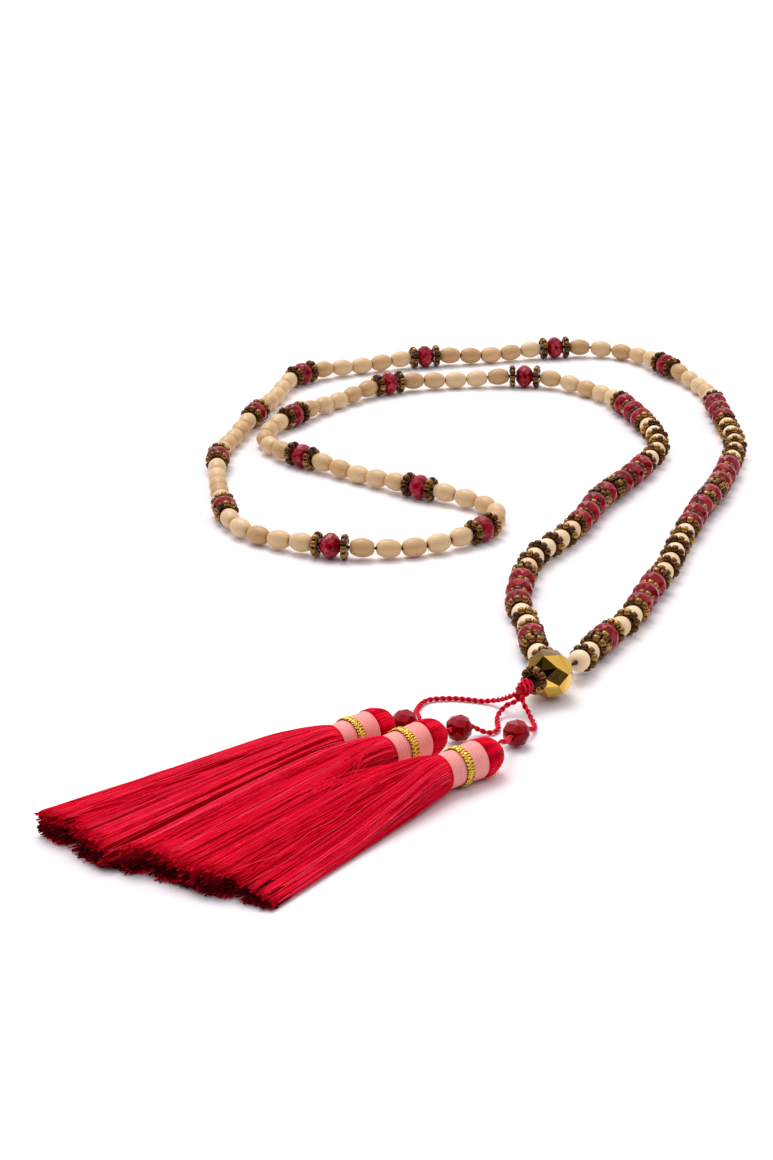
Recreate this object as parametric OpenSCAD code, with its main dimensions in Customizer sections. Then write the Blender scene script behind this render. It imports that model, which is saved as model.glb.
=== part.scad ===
// Long beaded necklace with three silk tassels, lying on a flat surface.
// Lengths are in millimetres. Z is up and the surface is at Z = 0. The route of
// the string is given from the middle of the guru bead, the large faceted bead
// where both front strands meet, and the finished necklace is then centred.

/* [Wood beads] */
// Length of an oval wood bead along its bore
oval_len = 7.6; // [6.5:0.1:8.5]
// Diameter of an oval wood bead
oval_d = 6; // [5:0.1:6.8]
// Length of a round wood bead along its bore
round_len = 6.3; // [5.4:0.1:6.8]
// Diameter of a round wood bead
round_d = 6; // [5:0.1:6.8]
// Oval wood beads in each run of the back string
run_ovals = 5; // [3:1:7]

/* [Crystal beads] */
// Length of a ruby crystal bead along its bore
crystal_len = 6; // [5:0.1:7]
// Width of a ruby crystal bead across its side facets
crystal_d = 8; // [7:0.1:8.2]
// Facets round the side of a ruby crystal bead
crystal_facets = 12; // [8:1:12]
// Width of the band of side facets
crystal_band = 2; // [1:0.1:3]

/* [Spacer rings] */
// Outer diameter of a ring of seed beads
ring_d = 8.3; // [7.5:0.1:9]
// Thickness of one row of seed beads
ring_t = 2.3; // [2:0.1:2.8]

/* [Stringing] */
// Bore of the beads on the string
bore_d = 1.6; // [1.3:0.1:1.8]
// Diameter of the dark thread through the beads
thread_d = 0.9; // [0.6:0.1:1]
// Play between neighbouring beads on the string
bead_gap = 0.1; // [0.1:0.01:0.2]
// Bare thread between the guru bead and the first bead of each strand
lead_len = 2.2; // [2:0.1:4]

/* [Guru bead] */
// Length of the gold guru bead along its bore
guru_len = 12.2; // [11:0.1:14]
// Width of the gold guru bead over its corners
guru_d = 13.6; // [12:0.1:14.5]
// Bore of the guru bead, wide enough for two threads
guru_bore = 2.6; // [2.4:0.1:3]
// Height of the knot end of the guru bead over its other end, in degrees
guru_lift = 5; // [2:0.5:7]

/* [Knot and cords] */
// Length of the wound cord knot in front of the guru bead
knot_len = 4.8; // [4:0.1:5.4]
// Diameter of the wound cord knot
knot_d = 4.6; // [4.2:0.1:5.2]
// Diameter of a twisted tassel cord
cord_d = 1.5; // [1.2:0.1:1.7]

/* [Drop beads] */
// Length of a drop bead along its bore
drop_len = 6.6; // [6:0.1:7]
// Width of a drop bead over its corners
drop_d = 7.3; // [6.8:0.1:7.8]
// Bore of a drop bead, which a cord passes through
drop_bore = 2.2; // [1.9:0.1:2.4]

/* [Tassels] */
// Diameter of the gathered cap of a tassel
cap_d = 10.4; // [10:0.1:10.8]
// Length of the cap that shows above the wrap
cap_len = 7.8; // [6.5:0.1:9]
// Outer diameter of the pink wrap where it meets the cap
wrap_d = 9.9; // [9.5:0.1:10.2]
// How much narrower the wrap is where it meets the skirt
wrap_taper = 0.8; // [0:0.1:1]
// Length of the pink wrap
wrap_len = 12; // [10:0.5:14]
// Thickness of the wound pink thread
wrap_wall = 0.8; // [0.5:0.1:1]
// Width of the gold braid round the wrap
braid_len = 2.8; // [2:0.1:4]
// Thickness of the gold braid
braid_wall = 0.5; // [0.4:0.1:0.8]
// Length of a tassel skirt from the wrap to its cut end
skirt_len = 82; // [60:1:90]
// Width of a skirt at its cut end
skirt_w = 21.4; // [16:0.2:21.6]
// Height of a skirt at its cut end
skirt_h = 7.6; // [6:0.1:9]
// Swell of the skirt behind the wrap
skirt_swell = 2.4; // [0:0.1:3]
// Locks round a skirt
lock_count = 14; // [10:1:16]
// Depth of the grooves between the locks at the cut end
lock_depth = 0.7; // [0.3:0.1:1]

/* [Hidden] */
$fn = 48;

// Room between pieces that touch on the real necklace
fit = 0.1;
// Flat rim round the bore at each end of a wood bead
rim_w = 0.25;
// Radius of the flat end of a crystal bead
table_r = 1.7;
// Further play between oval beads, which tip on each other where a run sags
oval_play = 0.1;
// Radius at which neighbouring beads bear on each other in a bend
bear_r = 1.7;
// Radius of the long flank of an oval and of a round wood bead
oval_flank_r = 6.5;
round_flank_r = 5;
// Sides of the thread and of the cords
thread_sides = 6;
cord_sides = 8;
// Facets round the guru bead and round a drop bead
guru_facets = 7;
drop_facets = 8;
// Shares of a faceted bead: width of its table, width and length between its
// shoulders, length of its belt
table_share = 0.44;
shoulder_share = 0.86;
shoulder_rise = 0.56;
belt_share = 0.1;
// Room between the lowest corner of a piece and the surface
foot = 0.02;
// Place of the middle of the braid, as a share of the wrap's length
braid_share = 0.54;
// How much wider the skirt starts than the wrap ends
neck_bulge = 0.3;
// Place of the middle of a skirt's bend, as a share of its length
bend_share = 0.25;
// How a skirt changes along its length: how evenly it widens, how near the wrap
// it swells most and how soon it comes down to the surface
spread_power = 0.95;
swell_power = 0.55;
settle_power = 5;
// How square a skirt's section gets, how its free edge thins out and how ragged
// its cut end is
skirt_square = 0.5;
thin_power = 1.6;
skirt_ragged = 0.8;

// Kinds of bead on the string
OVAL = 0;
ROUND = 1;
CRYSTAL = 2;
RING = 3;

// One front strand, from the guru bead outwards. Columns: kind of bead, how
// many in a group, rows of ring between them, rows of ring after the last.
front_pattern = [
    [ROUND, 2, 1, 3],
    [CRYSTAL, 1, 1, 1],
    [ROUND, 2, 1, 1],
    [CRYSTAL, 3, 1, 2],
    [ROUND, 5, 1, 1],
    [CRYSTAL, 3, 1, 2],
    [CRYSTAL, 1, 1, 3],
    [CRYSTAL, 3, 1, 1],
    [ROUND, 5, 1, 1],
    [CRYSTAL, 3, 1, 1]
];
// Runs of oval beads in the back string, with a ring, crystal and ring between
back_runs = 15;

// Route of the string on the surface, from the guru bead up the right strand,
// round the back and down the left strand: points in x and y
route = [
    [7, 7.5], [16, 30], [25.5, 46], [33.5, 70.5], [40, 87], [46.5, 111], [56.5, 143.5],
    [63.5, 161.5], [73.5, 199], [74, 221.5], [73, 242.5], [70.5, 272.5], [58, 302],
    [44.5, 320], [24.5, 322.5], [-10.5, 313.5], [-30.5, 309.5], [-63, 296], [-77.5, 283],
    [-83.5, 260], [-94.5, 219], [-99.5, 189], [-95, 143.5], [-87, 121.5], [-57, 105],
    [-26.5, 110.5], [-9.5, 128], [-12, 146.5], [-36, 163], [-66, 187.5], [-83.5, 206],
    [-82, 227], [-59.5, 259], [-37.5, 278], [6.5, 284.5], [27, 274], [40.5, 250],
    [48.5, 207.5], [39.5, 179], [24.5, 150], [19.5, 134.5], [10.5, 113], [0.5, 95],
    [-5.5, 62], [-3.5, 40.5], [-2, 19.5], [1.5, 9.5]
];
// Samples of the smooth route between two of its points
route_steps = 8;
// Direction from the guru bead towards its knot, in plan
guru_dir = 233;
// Fall of the cord knot below the level, in degrees
knot_drop = 25;
// Distance along the string in which it comes down from the guru bead
rise_len = 6;

// Cord routes, from the knot through the drop bead to the cap: x, y and height
cord_a_route = [
    [-9.7, -11.4, 5.8], [-10.9, -10.4, 4.8], [-12.1, -8.9, 3.6], [-13.5, -7.1, 2.4],
    [-15.4, -5.4, 1.4], [-17.9, -4.4, 0.8], [-21.2, -3.5, 0.8], [-25, -2.7, 0.8],
    [-29, -2.8, 0.8], [-32.3, -3.8, 0.8], [-34.3, -6.6, 0.8], [-35.3, -10.4, 1.1],
    [-35.7, -14.2, 1.9], [-35.4, -17.9, 2.6], [-35, -21.2, 3.2], [-35.3, -22.6, 3.4],
    [-36.1, -23.5, 3.5], [-37.3, -24.3, 3.6], [-38.8, -25.4, 3.9], [-40.3, -26.5, 4.2],
    [-41.3, -27.2, 4.4], [-42, -27.6, 4.8]
];
cord_b_route = [
    [-8.3, -11.4, 4.6], [-9.6, -12, 3.9], [-11.2, -11.9, 3.2], [-12.7, -12.8, 2.3],
    [-13.9, -14.7, 1.5], [-14.4, -17, 1], [-14.4, -19.3, 0.8], [-14.3, -21.4, 0.8],
    [-14.6, -23.3, 0.8], [-15.5, -24.7, 0.8], [-17, -25.2, 0.9], [-18.7, -25, 1.3],
    [-20.2, -25, 2], [-21.6, -25.7, 2.9], [-22.7, -26.8, 3.5], [-24.8, -29.4, 4.1],
    [-26.9, -32, 4.7], [-28.9, -34.4, 5.2]
];
cord_c_route = [
    [-7.8, -12.4, 5.8], [-7.6, -13.2, 4.8], [-7.1, -14, 3.6], [-6.3, -14.9, 2.5],
    [-5.6, -16.4, 1.5], [-5, -18.4, 0.9], [-4.8, -20.8, 0.8], [-5.1, -23.3, 1.2],
    [-5.9, -25.6, 2], [-7.1, -27.3, 2.9], [-8.6, -28.9, 3.6], [-10.1, -31.8, 3.8],
    [-11.6, -34.8, 4], [-12.4, -37.4, 4.4], [-12.9, -40.2, 5.3], [-13.4, -42.8, 6.4],
    [-14.1, -45, 7.3], [-14.9, -46, 7.6]
];

// Places of the tassels. Columns: tip of the cap in x and y, direction of the
// head, direction of the skirt's end, share of the skirt's length, share of its
// width, and how far its free edge thins out.
tassel_table = [
    [-42.4, -27.9, 223, 218.3, 0.98, 1.05, 0],
    [-29.1, -34.6, 223, 225, 0.94, 1, 0],
    [-15.1, -46.3, 221.5, 229.7, 0.89, 1, 0.7]
];
// Places of the drop beads. Columns: x, y, height, direction and rise of the bore.
drop_table = [
    [-38.8, -25.4, 3.9, 215, 8],
    [-24.8, -29.4, 4.1, 231, 10],
    [-10.1, -31.8, 3.8, 243, 4]
];

// Vector from a direction in degrees
function heading(a) = [cos(a), sin(a)];
function unit(v) = v / norm(v);
function sum_to(v, n) = n < 0 ? 0 : v[n] + sum_to(v, n - 1);
function running(v) = [for (i = 0, s = 0; i <= len(v); s = s + (i < len(v) ? v[i] : 0), i = i + 1) s];

// Beads in order
function strand(rows) = [
    for (row = rows)
        for (i = [1:row[1]])
            each [[row[0], 1], [RING, i < row[1] ? row[2] : row[3]]]
];
function reversed(v) = [for (i = [len(v) - 1:-1:0]) v[i]];
back_string = [
    for (k = [1:back_runs])
        each concat([for (i = [1:run_ovals]) [OVAL, 1]],
                    k < back_runs ? [[RING, 1], [CRYSTAL, 1], [RING, 1]] : [])
];
front = strand(front_pattern);
beads = concat(front, back_string, reversed(front));
function bead_len(b) = b[0] == OVAL ? oval_len + oval_play
    : b[0] == ROUND ? round_len
    : b[0] == CRYSTAL ? crystal_len
    : b[1] * ring_t;
places = running([for (b = beads) bead_len(b) + bead_gap]);
beads_total = places[len(beads)];
front_total = places[len(front)];

// The guru bead rests on its corners, with its bore lifted towards the knot
guru_z = (guru_d * cos(guru_lift) + guru_len * belt_share * sin(guru_lift)) / 2 + foot;
guru_axis = [cos(guru_dir) * cos(guru_lift), sin(guru_dir) * cos(guru_lift), sin(guru_lift)];
function on_guru_axis(s) = [0, 0, guru_z] + guru_axis * s;
mouth = on_guru_axis(-guru_len / 2 - 0.3);
mouth_xy = [mouth[0], mouth[1]];
collar_s = guru_len / 2 + fit + ring_t / 2;
knot_start = on_guru_axis(collar_s + ring_t / 2 + knot_d * 0.2);
knot_axis = [cos(guru_dir) * cos(knot_drop), sin(guru_dir) * cos(knot_drop), -sin(knot_drop)];

// Smooth route of the string, stretched about the guru bead so that it is as
// long as the beads on it. Where it bends, the beads bear on each other's inner
// edge, so the length that counts is the one along that edge.
function curve(p, q, r, s, t) = 0.5 * (2 * q + (r - p) * t
    + (2 * p - 5 * q + 4 * r - s) * t * t
    + (3 * q - p - 3 * r + s) * t * t * t);
way = concat([mouth_xy - heading(guru_dir + 180)], [mouth_xy], route, [mouth_xy],
             [mouth_xy - heading(guru_dir + 180)]);
samples = concat(
    [for (i = [1:len(way) - 3])
        for (j = [0:route_steps - 1])
            curve(way[i - 1], way[i], way[i + 1], way[i + 2], j / route_steps)],
    [mouth_xy]);
last = len(samples) - 1;
steps = [for (i = [1:last]) norm(samples[i] - samples[i - 1])];
function turn(a, b) = atan2(a[0] * b[1] - a[1] * b[0], a * b);
turns = concat([0],
    [for (i = [1:last - 1]) abs(turn(samples[i] - samples[i - 1], samples[i + 1] - samples[i]))]);
turned = bear_r * PI / 180 * sum_to(turns, last - 1);
string_total = beads_total + 2 * lead_len;
stretch = (string_total + turned) / sum_to(steps, last - 1);
along = running([for (i = [0:last - 1]) steps[i] * stretch - bear_r * PI / 180 * turns[i]]);
route_x = [for (i = [0:last]) [along[i], mouth[0] + (samples[i][0] - mouth[0]) * stretch]];
route_y = [for (i = [0:last]) [along[i], mouth[1] + (samples[i][1] - mouth[1]) * stretch]];

// Height of the string: on its rings, lower in the middle of each oval run,
// and higher where it comes from the guru bead
string_z = ring_d / 2;
run_len = run_ovals * (oval_len + oval_play + bead_gap);
period = run_len + crystal_len + 2 * ring_t + 3 * bead_gap;
sag = max(0, string_z - oval_d / 2 - fit);
function run_share(s) = min(1, ((s - front_total) % period) / run_len);
function height_at(s) = string_z
    + (mouth[2] - string_z) * exp(-max(0, min(s, beads_total - s)) / rise_len)
    - (s > front_total && s < beads_total - front_total
        ? sag * pow(sin(180 * run_share(s)), 2) : 0);
// Joints between neighbouring beads
function string_point(s) = [lookup(s + lead_len, route_x), lookup(s + lead_len, route_y), height_at(s)];
joints = [for (s = places) string_point(s)];

// Axis of a tassel: straight in the head, then bent towards the skirt's end.
// It returns x, y and direction at a distance from the tip of the cap.
head_len = cap_len + wrap_len;
function skirt_length(t) = skirt_len * t[4];
function tassel_axis(t, s) = s <= head_len ? straight_axis(t, s)
    : bent_axis(t, (s - head_len) / skirt_length(t));
function straight_axis(t, s) = [t[0] + cos(t[2]) * s, t[1] + sin(t[2]) * s, t[2]];
function bent_axis(t, u) = let(
        p = straight_axis(t, head_len),
        a = [p[0], p[1]],
        b = a + heading(t[2]) * skirt_length(t) * bend_share,
        c = a + heading(t[3]) * skirt_length(t),
        q = a * (1 - u) * (1 - u) + b * 2 * u * (1 - u) + c * u * u,
        d = (b - a) * (1 - u) + (c - b) * u
    ) [q[0], q[1], atan2(d[1], d[0])];

// Sizes of the head, in which the braid is the widest piece
wrap_bore = wrap_d - wrap_taper - 2 * wrap_wall;
core_d = wrap_bore - 2 * fit;
neck_d = wrap_d - wrap_taper + neck_bulge;
function wrap_width(s) = wrap_d - wrap_taper * (s - cap_len) / wrap_len;
braid_from = cap_len + wrap_len * braid_share - braid_len / 2;
head_z = max(cap_d, wrap_width(braid_from) + fit + 2 * braid_wall) / 2 + 2 * foot;

// Tassel sections. Width and height of the body at a share of the cap's or of
// the skirt's length
cap_shares = [0.02, 0.08, 0.22, 0.45, 0.7, 0.92, 1];
skirt_shares = [0, 0.05, 0.13, 0.25, 0.4, 0.6, 0.8, 1];
function cap_width(u) = cap_d * pow(sin(90 * min(1, 0.08 + u * 1.25)), 0.55);
function skirt_width(t, u) = neck_d + (skirt_w * t[5] - neck_d) * pow(u, spread_power);
function skirt_height(u) = neck_d + (skirt_h - neck_d) * u + skirt_swell * sin(180 * pow(u, swell_power));
function skirt_middle(u) = max(skirt_height(u) / 2 + foot, head_z * pow(1 - u, settle_power));
// One section: point k of n on a rounded outline with shallow locks, which gets
// lower towards its free edge
function outline_point(w, h, z, deep, k, n, power, thin) = let(
        a = 360 * k / n,
        lock = 1 - deep * (1 - cos(a * lock_count)) / w,
        x = pow(abs(cos(a)), power) * sign(cos(a)) * lock,
        y = pow(abs(sin(a)), power) * sign(sin(a)) * lock,
        low = 1 - thin * pow(max(0, 0.5 - x / 2), thin_power)
    ) [x * w / 2, z - h / 2 + (y + 1) * h / 2 * low];
outline_n = lock_count * 4;
function tassel_section(t, s, w, h, z, deep, power, thin = 0, ragged = 0) = [
    for (k = [0:outline_n - 1]) let(
        p = tassel_axis(t, s + ragged * sin(k * 360 / 4 + k * 137)),
        o = outline_point(w, h, z, deep, k, outline_n, power, thin)
    ) [p[0] + sin(p[2]) * o[0], p[1] - cos(p[2]) * o[0], o[1]]
];
function tassel_sections(t) = concat(
    [for (u = cap_shares)
        tassel_section(t, cap_len * u, cap_width(u), cap_width(u), head_z, 0.15, 1)],
    [tassel_section(t, cap_len + fit / 2, core_d, core_d, head_z, 0, 1)],
    [tassel_section(t, head_len - fit / 2, core_d, core_d, head_z, 0, 1)],
    [for (u = skirt_shares)
        tassel_section(t, head_len + skirt_length(t) * u + (u == 0 ? fit / 2 : 0),
            skirt_width(t, u), skirt_height(u), skirt_middle(u),
            lock_depth * min(1, u * 4), 1 - skirt_square * min(1, u * 3),
            t[6] * min(1, u * 1.5), u == 1 ? skirt_ragged : 0)]
);
function flat(v) = [for (row = v) each row];

// Middle and base of the whole necklace
skirt_ends = flat([for (t = tassel_table)
    tassel_section(t, head_len + skirt_length(t), skirt_w * t[5], skirt_h, skirt_h / 2, 0, 1)]);
ring_reach = ring_d / 2;
low_x = min([for (p = skirt_ends) p[0]]);
low_y = min([for (p = skirt_ends) p[1]]);
high_x = max([for (p = joints) p[0]]) + ring_reach;
high_y = max([for (p = joints) p[1]]) + ring_reach;
centre = [(low_x + high_x) / 2, (low_y + high_y) / 2];
module centred() {
    translate([-centre[0], -centre[1], 0])
        children();
}

// Turn a piece made along Z so that it lies from one point to another
module between(a, b) {
    d = b - a;
    translate((a + b) / 2)
        rotate([0, acos(d[2] / norm(d)), atan2(d[1], d[0])])
            children();
}

// Tube through a list of points
function tube_dir(p, i) = unit(p[min(i + 1, len(p) - 1)] - p[max(i - 1, 0)]);
function tube_ring(p, i, d, n) = let(
        u = tube_dir(p, i),
        a = unit(cross(u, [0, 0, 1])),
        b = cross(a, u),
        prior = i > 0 ? unit(p[i] - p[i - 1]) : u,
        widen = 1 / max(0.8, u * prior)
    ) [for (k = [0:n - 1]) p[i] + d / 2 * (a * cos(360 * k / n) * widen + b * sin(360 * k / n))];
module skin(rings, n) {
    m = len(rings);
    polyhedron(
        points = flat(rings),
        faces = concat(
            [[for (k = [n - 1:-1:0]) k]],
            [for (i = [0:m - 2]) for (k = [0:n - 1]) let(l = (k + 1) % n)
                each [[i * n + k, (i + 1) * n + l, (i + 1) * n + k],
                      [i * n + k, i * n + l, (i + 1) * n + l]]],
            [[for (k = [0:n - 1]) (m - 1) * n + k]]),
        convexity = 8);
}
module tube(p, d, n) {
    skin([for (i = [0:len(p) - 1]) tube_ring(p, i, d, n)], n);
}

// Half outline of a wood bead, turned round its bore
module wood_bead(length, d, flank_r) {
    rotate_extrude()
        intersection() {
            translate([d / 2 - flank_r, 0])
                circle(r = flank_r);
            circle(r = norm([length / 2, bore_d / 2 + rim_w]));
            translate([bore_d / 2, -length / 2])
                square([d, length]);
        }
}

// Rondelle with a flat table at each end and a band of facets round its side
module crystal_bead() {
    half_d = crystal_d / 2;
    slope = (crystal_len - crystal_band) / 2 / (half_d - table_r);
    outer_r = half_d + min(1, crystal_band / 2 / slope - 0.05);
    outer_z = crystal_band / 2 - (outer_r - half_d) * slope;
    intersection() {
        cylinder(h = crystal_len + 1, d = crystal_d / cos(180 / crystal_facets), center = true,
                 $fn = crystal_facets);
        rotate_extrude()
            polygon([
                [bore_d / 2, -crystal_len / 2],
                [table_r, -crystal_len / 2],
                [outer_r, -outer_z],
                [outer_r, outer_z],
                [table_r, crystal_len / 2],
                [bore_d / 2, crystal_len / 2]
            ]);
    }
}

// Rows of seed beads laid as rings, with the web that holds them
module seed_rings(rows, bore) {
    rim_r = (ring_d - ring_t) / 2;
    web_h = rows * ring_t - 0.08 * ring_t;
    rotate_extrude()
        union() {
            for (i = [1:rows])
                translate([rim_r, (i - (rows + 1) / 2) * ring_t])
                    circle(d = ring_t);
            translate([bore / 2, -web_h / 2])
                square([rim_r + 0.15 * ring_t - bore / 2, web_h]);
        }
}

// Every bead of one kind, in its place on the string
module strung(kind) {
    centred()
        for (i = [0:len(beads) - 1])
            if (beads[i][0] == kind)
                between(joints[i], joints[i + 1])
                    one_bead(beads[i]);
}
module one_bead(b) {
    if (b[0] == OVAL)
        wood_bead(oval_len, oval_d, oval_flank_r);
    if (b[0] == ROUND)
        wood_bead(round_len, round_d, round_flank_r);
    if (b[0] == CRYSTAL)
        crystal_bead();
    if (b[0] == RING)
        seed_rings(b[1], bore_d);
}

module oval_wood_beads() {
    color("#d8b78e")
        strung(OVAL);
}
module round_wood_beads() {
    color("#f0d4a6")
        strung(ROUND);
}
module crystal_beads() {
    color("#8e0f28")
        strung(CRYSTAL);
}
module spacer_rings() {
    color("#5b3f1c")
        strung(RING);
}

// The thread leaves the knot, passes the guru bead, goes round through every
// bead and comes back beside its start
module string_thread() {
    side = unit(cross(guru_axis, [0, 0, 1])) * (thread_d / 2 + 0.06);
    start = on_guru_axis(collar_s + ring_t / 2 + fit / 2);
    path = concat([start - side, mouth - side], joints, [mouth + side, start + side]);
    color("#3a2416")
        centred()
            tube(path, thread_d, thread_sides);
}

// Faceted glass bead: a flat table, kite facets over the shoulders and a narrow
// belt at its widest, drilled through
module faceted_bead(length, d, bore, n) {
    difference() {
        hull() {
            cylinder(h = length, d = d * table_share, center = true, $fn = n);
            rotate([0, 0, 180 / n])
                cylinder(h = length * shoulder_rise, d = d * shoulder_share, center = true, $fn = n);
            cylinder(h = length * belt_share, d = d, center = true, $fn = n);
        }
        cylinder(h = length + 2, d = bore, center = true);
    }
}
module guru_bead() {
    color("#c99a3a")
        centred()
            between(on_guru_axis(guru_len / 2), on_guru_axis(-guru_len / 2))
                faceted_bead(guru_len, guru_d, guru_bore, guru_facets);
}
module guru_collar() {
    color("#5b3f1c")
        centred()
            between(on_guru_axis(collar_s - 1), on_guru_axis(collar_s + 1))
                seed_rings(1, guru_bore);
}

// Wound knot: a short barrel
module cord_knot() {
    color("#c8102e")
        centred()
            between(knot_start, knot_start + knot_axis * knot_len)
                rotate_extrude()
                    intersection() {
                        translate([knot_d / 2 - knot_len, 0])
                            circle(r = knot_len);
                        translate([0, -knot_len / 2])
                            square([knot_d, knot_len]);
                    }
}

module cord(route_points) {
    color("#c8102e")
        centred()
            tube(route_points, cord_d, cord_sides);
}
module cord_a() {
    cord(cord_a_route);
}
module cord_b() {
    cord(cord_b_route);
}
module cord_c() {
    cord(cord_c_route);
}

module drop_bead(i) {
    row = drop_table[i];
    p = [row[0], row[1], row[2]];
    d = [cos(row[3]) * cos(row[4]), sin(row[3]) * cos(row[4]), sin(row[4])];
    color("#8e0b22")
        centred()
            between(p - d, p + d)
                faceted_bead(drop_len, drop_d, drop_bore, drop_facets);
}
module drop_bead_a() {
    drop_bead(0);
}
module drop_bead_b() {
    drop_bead(1);
}
module drop_bead_c() {
    drop_bead(2);
}

// Cap, core and skirt of a tassel in one
module tassel(i) {
    color("#c80a26")
        centred()
            skin(tassel_sections(tassel_table[i]), outline_n);
}
module tassel_a() {
    tassel(0);
}
module tassel_b() {
    tassel(1);
}
module tassel_c() {
    tassel(2);
}

// Sleeve that follows the wrap's taper, from one distance behind the tip to
// another. It stands out from the wrap's surface by the wall, and its hollow is
// round or has the same taper.
module sleeve(i, from, to, wall, hollow) {
    a = straight_axis(tassel_table[i], from);
    b = straight_axis(tassel_table[i], to);
    centred()
        between([a[0], a[1], head_z], [b[0], b[1], head_z])
            difference() {
                tapered(from, to, wall);
                if (hollow > 0)
                    cylinder(h = to - from + 2, d = hollow, center = true);
                else
                    tapered(from - 1, to + 1, fit / 2);
            }
}
module tapered(from, to, wall) {
    cylinder(h = to - from, d1 = wrap_width(from) + 2 * wall, d2 = wrap_width(to) + 2 * wall,
             center = true);
}
module wrap(i) {
    color("#ff8f8a")
        sleeve(i, cap_len + fit, head_len - fit, 0, wrap_bore);
}
module wrap_a() {
    wrap(0);
}
module wrap_b() {
    wrap(1);
}
module wrap_c() {
    wrap(2);
}
module braid(i) {
    color("#d9b400")
        sleeve(i, braid_from, braid_from + braid_len, fit / 2 + braid_wall, 0);
}
module braid_a() {
    braid(0);
}
module braid_b() {
    braid(1);
}
module braid_c() {
    braid(2);
}

string_thread();
oval_wood_beads();
round_wood_beads();
crystal_beads();
spacer_rings();
guru_bead();
guru_collar();
cord_knot();
cord_a();
cord_b();
cord_c();
drop_bead_a();
drop_bead_b();
drop_bead_c();
tassel_a();
tassel_b();
tassel_c();
wrap_a();
wrap_b();
wrap_c();
braid_a();
braid_b();
braid_c();
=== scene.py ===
"""Long beaded necklace with three silk tassels, lying on a pale floor.

Wood, ruby crystal and bronze seed beads are strung on a dark thread that meets
at a gold guru bead, and three red cords run from its knot to the tassels.
Lengths are in millimetres until a mesh is made, and then in metres. A name that
ends in _D, _R, _T, _W or _H is a diameter, radius, thickness, width or height.
"""
import math
from collections import namedtuple

import bpy
import numpy as np
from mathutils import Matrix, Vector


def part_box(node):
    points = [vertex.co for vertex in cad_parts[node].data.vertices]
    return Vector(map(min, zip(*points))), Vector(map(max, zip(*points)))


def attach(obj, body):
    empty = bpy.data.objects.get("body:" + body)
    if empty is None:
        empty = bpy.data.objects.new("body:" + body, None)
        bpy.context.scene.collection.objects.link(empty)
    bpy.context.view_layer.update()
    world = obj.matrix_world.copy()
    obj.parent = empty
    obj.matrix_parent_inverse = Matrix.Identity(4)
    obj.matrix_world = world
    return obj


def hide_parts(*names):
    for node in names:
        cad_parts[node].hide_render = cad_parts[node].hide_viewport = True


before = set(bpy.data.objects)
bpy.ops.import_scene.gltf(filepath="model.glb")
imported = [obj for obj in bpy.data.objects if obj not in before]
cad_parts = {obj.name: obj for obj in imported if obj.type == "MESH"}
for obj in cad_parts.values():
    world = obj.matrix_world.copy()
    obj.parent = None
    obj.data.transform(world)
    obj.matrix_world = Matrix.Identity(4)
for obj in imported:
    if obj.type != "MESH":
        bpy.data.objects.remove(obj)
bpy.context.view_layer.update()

MM = 0.001
UP = np.array([0.0, 0.0, 1.0])
# Middle of the whole necklace, measured from the guru bead
MIDDLE = np.array([-23.9942, 103.002, 0.0])
rng = np.random.default_rng(7)
scene = bpy.context.scene


def put(name, data):
    """New object in the scene"""
    made = bpy.data.objects.new(name, data)
    scene.collection.objects.link(made)
    return made


# Camera

LENS = 85.03
TILT_DOWN = 21.0
EYE = np.array([-43.5, -675.6, 293.05])

camera = put("camera", bpy.data.cameras.new("camera"))
camera.data.sensor_fit = "VERTICAL"
camera.data.sensor_height = 36
camera.data.lens = LENS
camera.data.clip_start = 0.05
camera.data.clip_end = 60
camera.location = (EYE - MIDDLE) * MM
camera.rotation_euler = (math.radians(90 - TILT_DOWN), 0, 0)
scene.camera = camera


# Materials

# Thickness of a bundle of fibres on a spun thread
FIBRE = 0.12


def linear(code):
    """Linear colour of an sRGB hex value"""
    parts = [int(code[i:i + 2], 16) / 255 for i in (1, 3, 5)]
    return [p / 12.92 if p <= 0.04045 else ((p + 0.055) / 1.055) ** 2.4 for p in parts] + [1]


def add(material, kind, links=None, stops=None, **settings):
    """One node: its settings, the values or sockets that go in, and a ramp's stops"""
    tree = material.node_tree
    new = tree.nodes.new(kind)
    for name, value in settings.items():
        setattr(new, name, value)
    for name, value in (links or {}).items():
        if isinstance(value, bpy.types.NodeSocket):
            tree.links.new(value, new.inputs[name])
        else:
            new.inputs[name].default_value = value
    if stops:
        ramp = new.color_ramp
        for place, code in stops[1:-1]:
            ramp.elements.new(place)
        for element, (place, code) in zip(ramp.elements, stops):
            element.position = place
            element.color = linear(code)
    return new


def finish_named(name, surface):
    """New material whose surface is a Principled shader with these sockets"""
    material = bpy.data.materials.new(name)
    material.use_nodes = True
    material.node_tree.nodes.clear()
    sockets = surface(material)
    shader = add(material, "ShaderNodeBsdfPrincipled", sockets)
    add(material, "ShaderNodeOutputMaterial", {"Surface": shader.outputs["BSDF"]})
    return material


def clouded_tone(m, scale, detail, share):
    """Tone of each facet or thread with a share of a cloud added, and the cloud itself"""
    tone = add(m, "ShaderNodeAttribute", attribute_name="tone")
    here = add(m, "ShaderNodeTexCoord")
    cloud = add(m, "ShaderNodeTexNoise", {"Vector": here.outputs["Object"], "Scale": scale,
                                          "Detail": detail})
    place = add(m, "ShaderNodeMath", {0: cloud.outputs["Fac"], 1: share, 2: tone.outputs["Fac"]},
                operation="MULTIPLY_ADD")
    return place.outputs[0], cloud.outputs["Fac"]


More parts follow.
